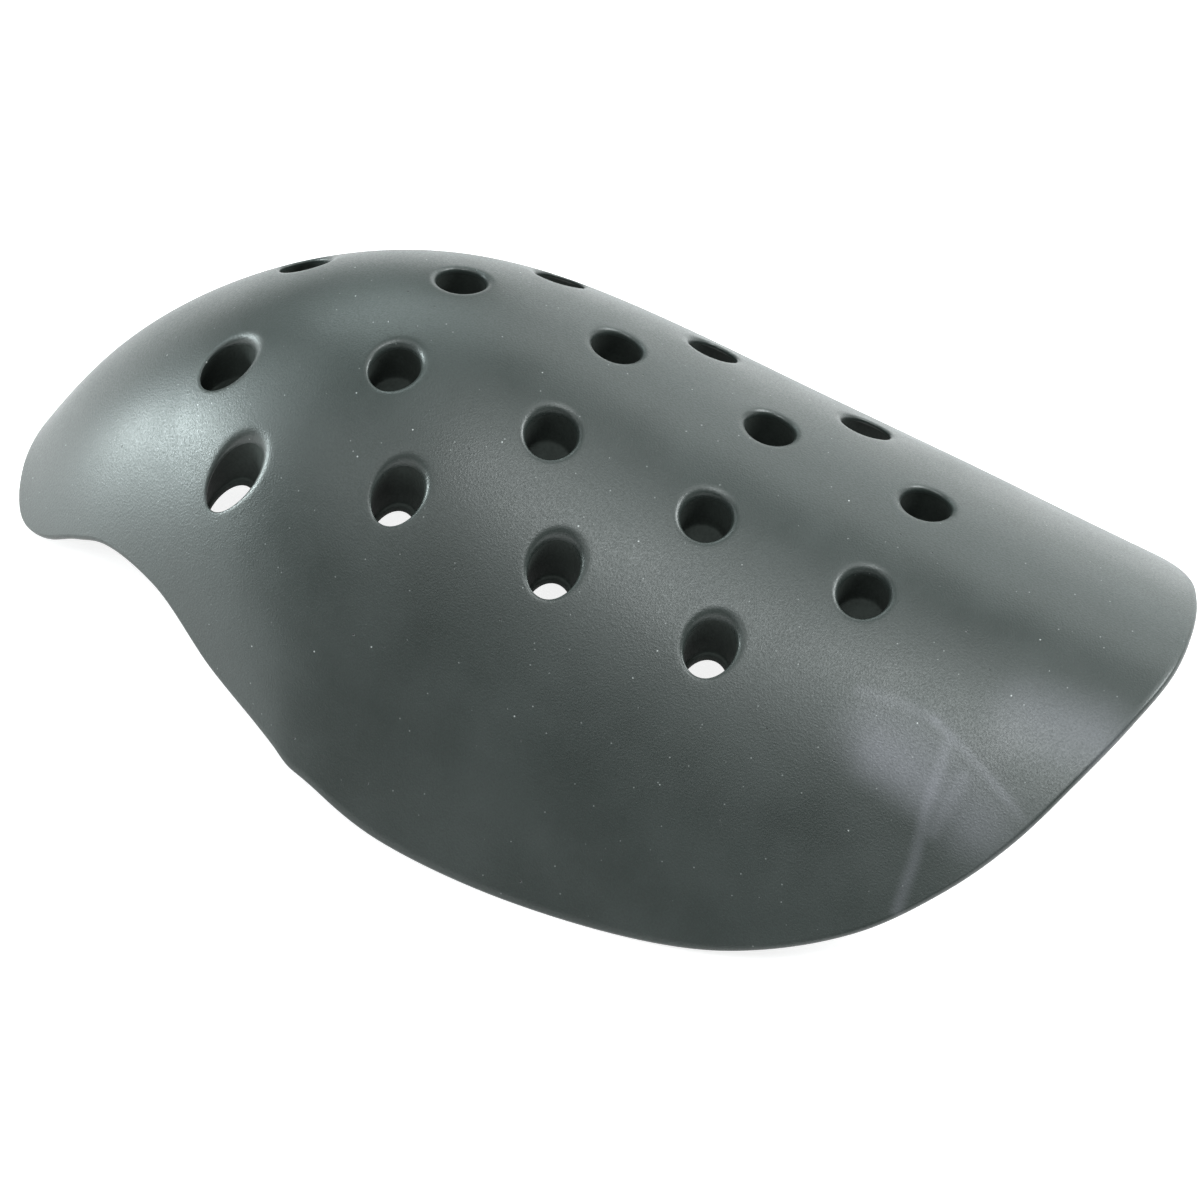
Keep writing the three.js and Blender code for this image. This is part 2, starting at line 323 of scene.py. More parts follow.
    def find(self, spots: np.ndarray, start: np.ndarray, face: Face) -> np.ndarray:
        """Laid-out points that lie over spots of the mould's base.

        Args:
            spots: x and y in the mould's frame, one spot a row.
            start: laid-out points to start from.
            face: the face that the points lie on.

        Returns:
            Laid-out points, one a row.
        """
        flat = start.copy()
        nudge = self.find_nudge
        for _ in range(self.find_tries):
            here = self.point(flat, face)[:, :2]
            miss = spots - here
            if np.abs(miss).max() < self.find_close:
                break
            by_over = (self.point(flat + [nudge, 0.0], face)[:, :2] - here) / nudge
            by_across = (self.point(flat + [0.0, nudge], face)[:, :2] - here) / nudge
            area = by_over[:, 0] * by_across[:, 1] - by_over[:, 1] * by_across[:, 0]
            move_over = (miss[:, 0] * by_across[:, 1] - miss[:, 1] * by_across[:, 0]) / area
            move_across = (by_over[:, 0] * miss[:, 1] - by_over[:, 1] * miss[:, 0]) / area
            move = np.stack([move_over, move_across], axis=-1)
            flat += np.clip(move, -self.find_stride, self.find_stride)
        return flat


@dataclass(frozen=True)
class HolePlace:
    """Where one ventilation hole's axis meets the mould's base, and whether it goes through."""

    spot: Vector
    through: bool


@dataclass
class VentHole:
    """The sizes that every ventilation hole has.

    lip_lean is how much wider the rounding is on the side where the face climbs, and how
    much tighter where it falls away. ease_in places the rings from the opening's edge to
    the lip. bore_steps and blind_steps place the rings down the bore of an open and of a
    blind hole, and floor_steps the rings of a blind hole's floor, as shares of the way or
    of the radius.
    """

    radius: float = 4.7
    lip_round: float = 1.7
    lip_lean: float = 0.35
    lip_rings: int = 8
    clear_outer: float = 8.6
    clear_inner: float = 6.9
    ledge_height: float = 2.0
    ledge_radius: float = 4.2
    floor_wall: float = 2.0
    floor_round: float = 0.5
    floor_rings: int = 4
    exit_round: float = 0.6
    exit_rings: int = 3
    ease_in: tuple[float, ...] = (0.35, 0.7)
    bore_steps: tuple[float, ...] = (0.2, 0.5)
    blind_steps: tuple[float, ...] = (0.2, 0.45, 0.7, 0.9, 1.0)
    floor_steps: tuple[float, ...] = (0.7, 0.4, 0.15)
    rise_span: float = 0.3


@dataclass
class FoamShell:
    """The pad's mesh: two curved faces, a rounded rim between them and the holes."""

    form: ShellForm
    hole: VentHole = field(default_factory=VentHole)
    rows: tuple[HoleRow, ...] = (
        HoleRow(start=0.1894, offset=12.8, spread=0.16, count=5, through=False),
        HoleRow(start=0.2417, offset=31.5, spread=0.03, count=4, through=True),
    )
    pitch: float = 32.25
    cells_over: int = 180
    cells_across: int = 132
    lobe_way: float = 29.0
    tongue_way: float = 52.0
    rim_bulge: float = 0.66
    rim_rings: int = 5
    rim_trace: int = 2400
    rim_look: int = 6
    edge_search: float = 3.0
    even_share: float = 0.75
    ease_reach: int = 4
    ease_rounds: int = 8
    ease_share: float = 0.6
    unevenness: float = 0.10
    unevenness_size: float = 26.0
    cup_share: float = 0.25
    turn_range: tuple[float, float] = (-0.5, 0.7)
    turn_halvings: int = 40

    def places(self) -> list[HolePlace]:
        """The holes of all rows, on both sides of the centre line."""
        found = []
        for row in self.rows:
            for i in range(row.count):
                x = row.start * self.form.pad_length + i * self.pitch
                offset = row.offset * (1.0 + row.spread if i == 0 else 1.0)
                for side in (-1.0, 1.0):
                    found.append(HolePlace(Vector((x, side * offset)), row.through))
        return found

    def lay_out(self, over: np.ndarray, across: np.ndarray) -> np.ndarray:
        """Spreads a square's shares over the laid-out pad.

        The rim is split at the cup's two lobes and at the tongue's two corners, and the four
        stretches are blended into each other.

        Args:
            over: shares from the cup's end to the tongue's end.
            across: shares from one side to the other.

        Returns:
            Laid-out points, one a row.
        """
        reached = self.form.rim_way()
        half = reached[-1] / 2.0
        lobe = self.lobe_way
        tongue = half - self.tongue_way
        swing = 2.0 * across - 1.0
        mirror = np.where(swing < 0.0, -1.0, 1.0)[:, None] * [0.0, 1.0] + [1.0, 0.0]
        side = self.form.rim_at(lobe + (tongue - lobe) * over)
        near = side * [1.0, -1.0]
        cup = self.form.rim_at(lobe * np.abs(swing)) * mirror
        end = self.form.rim_at(half - (half - tongue) * np.abs(swing)) * mirror
        cup_corner = self.form.rim_at(np.array([lobe]))[0]
        end_corner = self.form.rim_at(np.array([tongue]))[0]
        u = over[:, None]
        v = across[:, None]
        corners = (1.0 - u) * (1.0 - v) * (cup_corner * [1.0, -1.0])
        corners += (1.0 - u) * v * cup_corner
        corners += u * (1.0 - v) * (end_corner * [1.0, -1.0])
        corners += u * v * end_corner
        return (1.0 - v) * near + v * side + (1.0 - u) * cup + u * end - corners

    def make_face(self, bm: BMesh, face: Face) -> None:
        """Adds one face of the shell as a grid that follows its formula."""
        made = bmesh.ops.create_grid(
            bm, x_segments=self.cells_over, y_segments=self.cells_across, size=1.0
        )["verts"]
        square = np.array([v.co[:2] for v in made])
        shares = np.clip(0.5 * (square + 1.0), 0.0, 1.0)
        flat = self.lay_out(shares[:, 0], shares[:, 1])
        self.place(made, flat, face)
        if face is Face.INNER:
            faces = list({f for v in made for f in v.link_faces})
            bmesh.ops.reverse_faces(bm, faces=faces)

    def place(self, verts: list[BMVert], flat: np.ndarray, face: Face) -> None:
        """Puts vertices at laid-out points of a face and notes those points on them."""
        places = self.form.point(flat, face)
        for vert, spot, place in zip(verts, flat, places):
            vert[self.note] = (spot[0], spot[1], float(face.value))
            vert.co = place

    def join_rim(self, bm: BMesh) -> None:
        """Rounds the rim from the outer face to the inner one and closes it."""
        edges = [e for e in bm.edges if e.is_boundary]
        outer = [e for e in edges if e.verts[0][self.note][2] == Face.OUTER.value]
        inner = [e for e in edges if e.verts[0][self.note][2] == Face.INNER.value]
        verts = list({v for e in outer for v in e.verts})
        flat = np.array([v[self.note][:2] for v in verts])
        top = self.form.point(flat, Face.OUTER)
        bottom = self.form.point(flat, Face.INNER)
        outward = self.outward_at(flat)
        number = {v: i for i, v in enumerate(verts)}
        for ring in range(1, self.rim_rings + 1):
            turn = math.pi * ring / (self.rim_rings + 1)
            middle = (top + bottom) / 2.0
            spots = middle + (top - bottom) / 2.0 * math.cos(turn)
            spots = spots + outward * (self.rim_bulge * math.sin(turn))
            made = bmesh.ops.extrude_edge_only(bm, edges=outer)["geom"]
            outer = [g for g in made if isinstance(g, BMEdge) and g.is_boundary]
            fresh = [g for g in made if isinstance(g, BMVert)]
            follow = {}
            for vert in fresh:
                old = next(e.other_vert(vert) for e in vert.link_edges if e.other_vert(vert) in number)
                follow[vert] = number[old]
                vert.co = spots[number[old]]
            number = follow
        bmesh.ops.bridge_loops(bm, edges=outer + inner)

    def outward_at(self, flat: np.ndarray) -> np.ndarray:
        """Directions that leave the pad at rim points, in the outer face and square to the rim."""
        way = self.form.rim_way()
        fine = self.form.rim_at(np.linspace(0.0, way[-1], self.rim_trace, endpoint=False))
        gaps = np.linalg.norm(flat[:, None, :] - fine[None, :, :], axis=2)
        nearest = gaps.argmin(axis=1)
        look = self.rim_look
        ahead = fine[(nearest + look) % len(fine)] - fine[(nearest - look) % len(fine)]
        square = np.stack([-ahead[:, 1], ahead[:, 0]], axis=-1)
        square = square / np.linalg.norm(square, axis=1)[:, None]
        moved = self.form.outer(flat + 0.5 * square) - self.form.outer(flat - 0.5 * square)
        return moved / np.linalg.norm(moved, axis=1)[:, None]

    def open_face(self, bm: BMesh, holes: list[HolePlace], face: Face) -> list[list[BMVert]]:
        """Clears a round opening in one face over each of the given holes.

        Args:
            bm: the mesh.
            holes: the holes that open in the face.
            face: the face to open.

        Returns:
            For each hole, its edge's vertices in order, anticlockwise seen from above.
        """
        clear = self.hole.clear_outer if face is Face.OUTER else self.hole.clear_inner
        faces = [f for f in bm.faces if all(v[self.note][2] == face.value for v in f.verts)]
        middles = np.array([f.calc_center_median()[:2] for f in faces])
        inside = np.zeros(len(faces), bool)
        for hole in holes:
            inside |= np.hypot(*(middles - np.array(hole.spot)).T) < clear
        doomed = [f for f, gone in zip(faces, inside) if gone]
        bmesh.ops.delete(bm, geom=doomed, context="FACES")
        bm.edges.index_update()
        rims = [e for e in bm.edges if e.is_boundary and e.verts[0][self.note][2] == face.value]
        reach = clear + self.edge_search
        loops = []
        for hole in holes:
            edges = {e for e in rims if (e.verts[0].co.xy - hole.spot).length < reach}
            loops.append(self.round_edge(edges, hole.spot, clear, face))
        return loops

    def round_edge(self, edges: set[BMEdge], centre: Vector, clear: float, face: Face) -> list[BMVert]:
        """Rounds the stepped edge of an opening and eases the cells about it.

        Args:
            edges: the opening's edges.
            centre: the hole's place on the mould's base.
            clear: the opening's radius.
            face: the face that it is in.

        Returns:
            The edge's vertices in order, anticlockwise seen from above.
        """
        loop = self.in_order(edges)
        angles = np.unwrap([math.atan2(v.co.y - centre.y, v.co.x - centre.x) for v in loop])
        if angles[-1] < angles[0]:
            loop.reverse()
            angles = angles[::-1]
        even = np.arange(len(loop)) * (2.0 * math.pi / len(loop))
        even = even + (angles - even).mean()
        angles = (1.0 - self.even_share) * angles + self.even_share * even
        spots = np.array(centre) + clear * np.stack([np.cos(angles), np.sin(angles)], axis=-1)
        flat = self.form.find(spots, np.array([v[self.note][:2] for v in loop]), face)
        self.place(loop, flat, face)
        fixed = set(loop)
        nearby = set(loop)
        for _ in range(self.ease_reach):
            nearby |= {e.other_vert(v) for v in nearby for e in v.link_edges}
        free = [v for v in nearby - fixed if not v.is_boundary]
        for _ in range(self.ease_rounds):
            means = []
            for vert in free:
                around = [Vector(e.other_vert(vert)[self.note]) for e in vert.link_edges]
                means.append(sum(around, Vector()) / len(around))
            for vert, mean in zip(free, means):
                vert[self.note] = Vector(vert[self.note]).lerp(mean, self.ease_share)
        eased = np.array([v[self.note][:2] for v in free])
        self.place(free, eased, face)
        return loop

    @staticmethod
    def in_order(edges: set[BMEdge]) -> list[BMVert]:
        """The vertices of a closed loop of edges, one after the other."""
        first = min(edges, key=lambda e: e.index)
        loop = [first.verts[0], first.verts[1]]
        before = first
        while True:
            onward = next(e for e in loop[-1].link_edges if e in edges and e is not before)
            vert = onward.other_vert(loop[-1])
            if vert is loop[0]:
                return loop
            loop.append(vert)
            before = onward

    @staticmethod
    def loop_edges(loop: list[BMVert]) -> list[BMEdge]:
        """The edges from each vertex of a closed loop to the next one."""
        pairs = zip(loop, loop[1:] + loop[:1])
        return [next(e for e in a.link_edges if e.other_vert(a) is b) for a, b in pairs]

    def ring_in(
        self,
        bm: BMesh,
        loop: list[BMVert],
        places: np.ndarray,
        finish: Finish = Finish.SKIN,
    ) -> list[BMVert]:
        """Extrudes a hole's edge to a new ring.

        Args:
            bm: the mesh.
            loop: the edge's vertices in order.
            places: where the new ring's vertices go.
            finish: the finish of the faces between the edge and the new ring.

        Returns:
            The new ring's vertices, in the same order.
        """
        number = {v: i for i, v in enumerate(loop)}
        made = bmesh.ops.extrude_edge_only(bm, edges=self.loop_edges(loop))["geom"]
        for face in (g for g in made if isinstance(g, BMFace)):
            face.material_index = finish.value
        ring = [None] * len(loop)
        for vert in (g for g in made if isinstance(g, BMVert)):
            old = next(e.other_vert(vert) for e in vert.link_edges if e.other_vert(vert) in number)
            ring[number[old]] = vert
        for vert, place in zip(ring, places):
            vert.co = place
        return ring

    def bore_through(self, bm: BMesh, spot: Vector, top: list[BMVert], bottom: list[BMVert]) -> None:
        """Makes an open hole: a rounded lip, the bore, the ledge and the way out below.

        Args:
            bm: the mesh.
            spot: the hole's place on the mould's base.
            top: the opening's edge in the outer face.
            bottom: the opening's edge in the inner face.
        """
        upper = HoleSide(self, spot, top, Face.OUTER)
        lower = HoleSide(self, spot, bottom, Face.INNER)
        for places in upper.lip():
            top = self.ring_in(bm, top, places)
        for places in lower.lip() + lower.ledge():
            bottom = self.ring_in(bm, bottom, places, Finish.BORE)
        lip_ends = np.array([v.co for v in top])
        ledge_ends = np.array([v.co for v in bottom])
        whole_turn = 2.0 * math.pi
        ledge_top = np.interp(upper.angles, lower.angles, ledge_ends[:, 2], period=whole_turn)
        lip_end = np.interp(lower.angles, upper.angles, lip_ends[:, 2], period=whole_turn)
        for share in self.hole.bore_steps:
            places = lip_ends.copy()
            places[:, 2] += (ledge_top - lip_ends[:, 2]) * share
            top = self.ring_in(bm, top, places, Finish.BORE)
        places = ledge_ends.copy()
        places[:, 2] += (lip_end - ledge_ends[:, 2]) * self.hole.bore_steps[0]
        bottom = self.ring_in(bm, bottom, places, Finish.BORE)
        ends = self.loop_edges(top) + self.loop_edges(bottom)
        for face in bmesh.ops.bridge_loops(bm, edges=ends)["faces"]:
            face.material_index = Finish.BORE.value

    def bore_blind(self, bm: BMesh, spot: Vector, top: list[BMVert]) -> None:
        """Makes a blind hole: a rounded lip, the bore and a thin floor with a rounded edge.

        Args:
            bm: the mesh.
            spot: the hole's place on the mould's base.
            top: the opening's edge in the outer face.
        """
        upper = HoleSide(self, spot, top, Face.OUTER)
        for places in upper.lip():
            top = self.ring_in(bm, top, places)
        lip_ends = np.array([v.co for v in top])
        for places in upper.floor(lip_ends):
            top = self.ring_in(bm, top, places, Finish.BORE)
        middle = sum((v.co for v in top), Vector()) / len(top)
        bmesh.ops.pointmerge(bm, verts=top, merge_co=middle)

    def uneven(self, bm: BMesh) -> None:
        """Gives the skin the faint unevenness of moulded foam."""
        bm.normal_update()
        moves = []
        for vert in bm.verts:
            spot = vert.co / self.unevenness_size
            moves.append(vert.normal * (noise.noise(spot) * self.unevenness))
        for vert, move in zip(bm.verts, moves):
            vert.co += move

    def stand(self, bm: BMesh) -> None:
        """Turns the pad to how it stands on its rim and sets it where its frame says."""
        places = np.array([v.co for v in bm.verts])
        cup = places[:, 0] < self.cup_share * self.form.pad_length
        low_turn, high_turn = self.turn_range
        for _ in range(self.turn_halvings):
            turn = (low_turn + high_turn) / 2.0
            heights = places[:, 2] * math.cos(turn) - places[:, 0] * math.sin(turn)
            if heights[cup].min() > heights[~cup].min():
                high_turn = turn
            else:
                low_turn = turn
        tip = Matrix.Rotation(turn, 4, "Y")
        bmesh.ops.transform(bm, matrix=Matrix.Scale(MM, 4) @ tip, verts=bm.verts)
        low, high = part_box(PAD_NODE)
        places = np.array([v.co for v in bm.verts])
        middle = (places.min(axis=0) + places.max(axis=0)) / 2.0
        goal = (low + high) / 2.0
        shift = Vector((goal.x - middle[0], goal.y - middle[1], low.z - places[:, 2].min()))
        bmesh.ops.translate(bm, vec=shift, verts=bm.verts)

    def build(self) -> bpy.types.Object:
        """Models the shell.

        Returns:
            The pad as one object at the origin.
        """
        bm = bmesh.new()
        self.note = bm.verts.layers.float_vector.new("laid_out")
        self.make_face(bm, Face.OUTER)
        self.make_face(bm, Face.INNER)
        self.join_rim(bm)
        open_holes = [hole for hole in self.places() if hole.through]
        blind_holes = [hole for hole in self.places() if not hole.through]
        tops = self.open_face(bm, open_holes + blind_holes, Face.OUTER)
        bottoms = self.open_face(bm, open_holes, Face.INNER)
        for hole, top, bottom in zip(open_holes, tops, bottoms):
            self.bore_through(bm, hole.spot, top, bottom)
        for hole, top in zip(blind_holes, tops[len(open_holes):]):
            self.bore_blind(bm, hole.spot, top)
        bm.verts.layers.float_vector.remove(self.note)
        bmesh.ops.recalc_face_normals(bm, faces=bm.faces)
        self.uneven(bm)
        self.stand(bm)
        for face in bm.faces:
            face.smooth = True
        open_edges = sum(1 for e in bm.edges if not e.is_manifold)
        mesh = bpy.data.meshes.new("foam_shoulder_shell")
        bm.to_mesh(mesh)
        bm.free()
        pad = bpy.data.objects.new("foam_shoulder_shell", mesh)
        bpy.context.scene.collection.objects.link(pad)
        LOG.info("%s: %d faces, %d open edges", pad.name, len(mesh.polygons), open_edges)
        return pad


class HoleSide:
    """The rings of one end of a hole, worked out for each vertex of its opening's edge."""

    def __init__(self, shell: FoamShell, centre: Vector, loop: list[BMVert], face: Face) -> None:
        """Measures the face about the hole.

        Args:
            shell: the shell that the hole is in.
            centre: the hole's place on the mould's base.
            loop: the vertices of the opening's edge, in order.
            face: the face that the hole opens in.
        """
        self.form = shell.form
        self.hole = shell.hole
        self.face = face
        self.centre = np.array(centre)
        self.sign = 1.0 if face is Face.OUTER else -1.0
        around = np.array([v.co[:2] for v in loop]) - self.centre
        self.angles = np.unwrap(np.arctan2(around[:, 1], around[:, 0]))
        self.rays = np.stack([np.cos(self.angles), np.sin(self.angles)], axis=-1)
        self.edge_radius = np.hypot(*around.T)
        self.flat = np.array([v[shell.note][:2] for v in loop])
        self.radius = self.hole.radius if face is Face.OUTER else self.hole.ledge_radius
        span = self.hole.rise_span
        inside = self.height(np.full(len(loop), self.radius - span))
        outside = self.height(np.full(len(loop), self.radius + span))
        self.rise = (outside - inside) / (2.0 * span)

    def on_face(self, radii: np.ndarray) -> np.ndarray:
        """Points of the face at the given distances from the hole's axis."""
        spots = self.centre + self.rays * radii[:, None]
        flat = self.form.find(spots, self.flat, self.face)
        return self.form.point(flat, self.face)

    def height(self, radii: np.ndarray) -> np.ndarray:
        """Heights of the face at the given distances from the hole's axis."""
        return self.on_face(radii)[:, 2]

    def lip(self) -> list[np.ndarray]:
        """The rings from the opening's edge in to the start of the bore.

        Returns:
            Points of each ring, the last one on the bore's wall.
        """
        if self.face is Face.OUTER:
            reach = self.hole.lip_round * (1.0 + self.hole.lip_lean * np.tanh(self.rise))
            rings = self.hole.lip_rings
        else:
            reach = np.full(len(self.angles), self.hole.exit_round)
            rings = self.hole.exit_rings
        start_radius = self.radius + reach * np.cos(np.arctan(self.rise))
        start = self.on_face(start_radius)
        corner = self.on_face(np.full(len(self.angles), self.radius))
        end = corner.copy()
        end[:, 2] -= self.sign * reach
        made = []
        for share in self.hole.ease_in:
            made.append(self.on_face(self.edge_radius + (start_radius - self.edge_radius) * share))
        made.append(start)
        for ring in range(1, rings + 1):
            t = ring / rings
            made.append((1.0 - t) ** 2 * start + 2.0 * t * (1.0 - t) * corner + t**2 * end)
        return made

    def ledge(self) -> list[np.ndarray]:
        """The rings from the way out up over the thin moulded ledge to the bore's wall."""
        low = self.height(np.full(len(self.angles), self.radius))
        # Each step is a distance from the axis and a height above the inner face.
        steps = (
            (self.hole.ledge_radius, self.hole.ledge_height - 0.5),
            (self.hole.ledge_radius + 0.06, self.hole.ledge_height - 0.25),
            (self.hole.ledge_radius + 0.2, self.hole.ledge_height - 0.12),
            (self.hole.radius - 0.1, self.hole.ledge_height),
            (self.hole.radius, self.hole.ledge_height + 0.15),
            (self.hole.radius, self.hole.ledge_height + 0.6),
        )
        made = []
        for radius, lift in steps:
            spots = self.centre + self.rays * radius
            made.append(np.column_stack([spots, low + lift]))
        return made

    def floor(self, lip_ends: np.ndarray) -> list[np.ndarray]:
        """The rings from the lip down the bore and in over a blind hole's floor.

        Args:
            lip_ends: where the lip's last ring lies.

        Returns:
            Points of each ring, the last one small about the hole's axis.
        """
        made = []
        rounding = self.hole.floor_round
        wall_end = self.over_inner(self.hole.radius, self.hole.floor_wall + rounding)
        for share in self.hole.blind_steps:
            made.append(lip_ends + (wall_end - lip_ends) * share)
        for ring in range(1, self.hole.floor_rings + 1):
            turn = 0.5 * math.pi * ring / self.hole.floor_rings
            radius = self.hole.radius - rounding * (1.0 - math.cos(turn))
            lift = self.hole.floor_wall + rounding * (1.0 - math.sin(turn))
            made.append(self.over_inner(radius, lift))
        for share in self.hole.floor_steps:
            made.append(self.over_inner(self.hole.radius * share, self.hole.floor_wall))
        return made

    def over_inner(self, radius: float, lift: float) -> np.ndarray:
        """Points at a distance from the hole's axis and a height above the inner face."""
        spots = self.centre + self.rays * radius
        flat = self.form.find(spots, self.flat, Face.INNER)
        low = self.form.point(flat, Face.INNER)[:, 2]
        return np.column_stack([spots, low + lift])


@dataclass(frozen=True)
class RubAndHighlightMark:
    """A pale place on the foam's skin along straight spans in the part's frame, partly worn by rubbing
    and partly painted highlight.

    Points and half_width are millimetres, and strength is how much it covers at its middle.
    """

    points: tuple[tuple[float, float, float], ...]
    half_width: float
    strength: float


class Skin:
    """A material's nodes, with short ways of adding the kinds that a finish needs."""

    bump_strength = 0.5
    speck_core = 0.4
    fibre_core = 0.3
    fibre_tilt = (0.35, 0.25)

    def __init__(self, name: str) -> None:
        """Starts a material with one principled surface.

        Args:
            name: the material's name.
        """
        self.material = bpy.data.materials.new(name)
        self.material.use_nodes = True
        self.tree = self.material.node_tree
        self.surface = self.tree.nodes["Principled BSDF"]
        self.coordinates = self.tree.nodes.new("ShaderNodeTexCoord").outputs["Object"]

    def add(self, kind: str, **settings: object) -> bpy.types.Node:
        """Adds a node and sets its properties."""
        node = self.tree.nodes.new(kind)
        for name, value in settings.items():
            setattr(node, name, value)
        return node

    def feed(self, socket: bpy.types.NodeSocket, value: object) -> None:
        """Links a socket to another, or sets its value."""
        if isinstance(value, bpy.types.NodeSocket):
            self.tree.links.new(value, socket)
        else:
            socket.default_value = value

    def math(self, operation: str, *values: object, clamp: bool = False) -> bpy.types.NodeSocket:
        """A sum or other step on numbers."""
        node = self.add("ShaderNodeMath", operation=operation, use_clamp=clamp)
        for socket, value in zip(node.inputs, values):
            self.feed(socket, value)
        return node.outputs[0]

    def weigh(self, *terms: tuple[bpy.types.NodeSocket, float]) -> bpy.types.NodeSocket:
        """The sum of values, each times its weight."""
        total = None
        for value, weight in terms:
            part = self.math("MULTIPLY", value, weight)
            total = part if total is None else self.math("ADD", total, part)
        return total

    def vector(self, operation: str, *values: object) -> bpy.types.Node:
        """A step on vectors; the caller picks its output."""
        node = self.add("ShaderNodeVectorMath", operation=operation)
        for socket, value in zip(node.inputs, values):
            self.feed(socket, value)
        return node

    def noise(self, size: float, detail: float = 2.0) -> bpy.types.NodeSocket:
        """Soft noise whose blotches are about size metres wide, from 0 to 1."""
        node = self.add("ShaderNodeTexNoise")
        self.feed(node.inputs["Vector"], self.coordinates)
        node.inputs["Scale"].default_value = 1.0 / size
        node.inputs["Detail"].default_value = detail
        return node.outputs["Fac"]

    def between(self, value: object, low: float, high: float) -> bpy.types.NodeSocket:
        """A smooth step: 0 at low, 1 at high, which may be the smaller."""
        node = self.add("ShaderNodeMapRange", interpolation_type="SMOOTHSTEP")
        self.feed(node.inputs["Value"], value)
        node.inputs["From Min"].default_value = min(low, high)
        node.inputs["From Max"].default_value = max(low, high)
        node.inputs["To Min"].default_value = 0.0 if low < high else 1.0
        node.inputs["To Max"].default_value = 1.0 if low < high else 0.0
        return node.outputs["Result"]

    def mix(self, share: object, first: object, second: object) -> bpy.types.NodeSocket:
        """A colour between two, by share."""
        node = self.add("ShaderNodeMix", data_type="RGBA")
        self.feed(node.inputs[0], share)
        self.feed(node.inputs[6], first)
        self.feed(node.inputs[7], second)
        return node.outputs[2]

    def roughen(self, height: bpy.types.NodeSocket, depth: float) -> None:
        """Bumps the surface by a height from 0 to 1 that is worth depth metres."""
        bump = self.add("ShaderNodeBump")
        bump.inputs["Strength"].default_value = self.bump_strength
        bump.inputs["Distance"].default_value = depth
        self.feed(bump.inputs["Height"], height)
        self.feed(self.surface.inputs["Normal"], bump.outputs["Normal"])

    def cells(self, size: float, place: object = None) -> bpy.types.Node:
        """Scattered points about size metres apart; outputs are Distance and Color."""
        node = self.add("ShaderNodeTexVoronoi")
        self.feed(node.inputs["Vector"], place or self.coordinates)
        node.inputs["Scale"].default_value = 1.0 / size
        return node

    def picked(self, cells: bpy.types.Node, channel: int, share: float) -> bpy.types.NodeSocket:
        """1 for a share of the scattered points and 0 for the others, by a colour channel."""
        split = self.add("ShaderNodeSeparateColor")
        self.feed(split.inputs[0], cells.outputs["Color"])
        return self.math("LESS_THAN", split.outputs[channel], share)

    def specks(self, size: float, radius: float, share: float) -> bpy.types.NodeSocket:
        """Small round specks on a share of scattered points, from 0 to 1.

        Args:
            size: how far apart the scattered points are, in metres.
            radius: a speck's radius in metres.
            share: how many of the points carry a speck.

        Returns:
            1 inside a speck and 0 outside.
        """
        cells = self.cells(size)
        inside = self.between(cells.outputs["Distance"], radius / size, self.speck_core * radius / size)
        return self.math("MULTIPLY", inside, self.picked(cells, 0, share))

    def fibres(
        self, size: float, stretch: float, turn: float, radius: float, share: float
    ) -> bpy.types.NodeSocket:
        """Short thin fibres that all lie about one way, from 0 to 1.

        Args:
            size: how far apart the scattered points are across the fibres, in metres.
            stretch: a fibre's length over its width.
            turn: the fibres' direction about Z, in degrees.
            radius: half of a fibre's width in metres.
            share: how many of the points carry a fibre.

        Returns:
            1 on a fibre and 0 elsewhere.
        """
        turned = self.add("ShaderNodeMapping", vector_type="TEXTURE")
        self.feed(turned.inputs["Vector"], self.coordinates)
        turned.inputs["Rotation"].default_value = (*self.fibre_tilt, math.radians(turn))
        turned.inputs["Scale"].default_value = (stretch, 1.0, 1.0)
        cells = self.cells(size, turned.outputs["Vector"])
        inside = self.between(cells.outputs["Distance"], radius / size, self.fibre_core * radius / size)
        return self.math("MULTIPLY", inside, self.picked(cells, 1, share))

    def span_gap(self, start: Vector, end: Vector) -> bpy.types.NodeSocket:
        """Distance from a straight span, in metres."""
        run = end - start
        from_start = self.vector("SUBTRACT", self.coordinates, start).outputs["Vector"]
        along = self.vector("DOT_PRODUCT", from_start, run).outputs["Value"]
        share = self.math("DIVIDE", along, run.length_squared, clamp=True)
        reach = self.vector("SCALE", run)
        self.feed(reach.inputs["Scale"], share)
        off = self.vector("SUBTRACT", from_start, reach.outputs["Vector"])
        return self.vector("LENGTH", off.outputs["Vector"]).outputs["Value"]

    def mark(self, mark: RubAndHighlightMark) -> bpy.types.NodeSocket:
        """How near the middle of a pale mark a point is, from 0 outside it to 1."""
        points = [Vector(point) * MM for point in mark.points]
        gap = None
        for start, end in zip(points, points[1:]):
            span = self.span_gap(start, end)
            gap = span if gap is None else self.math("MINIMUM", gap, span)
        return self.between(gap, mark.half_width * MM, 0.0)


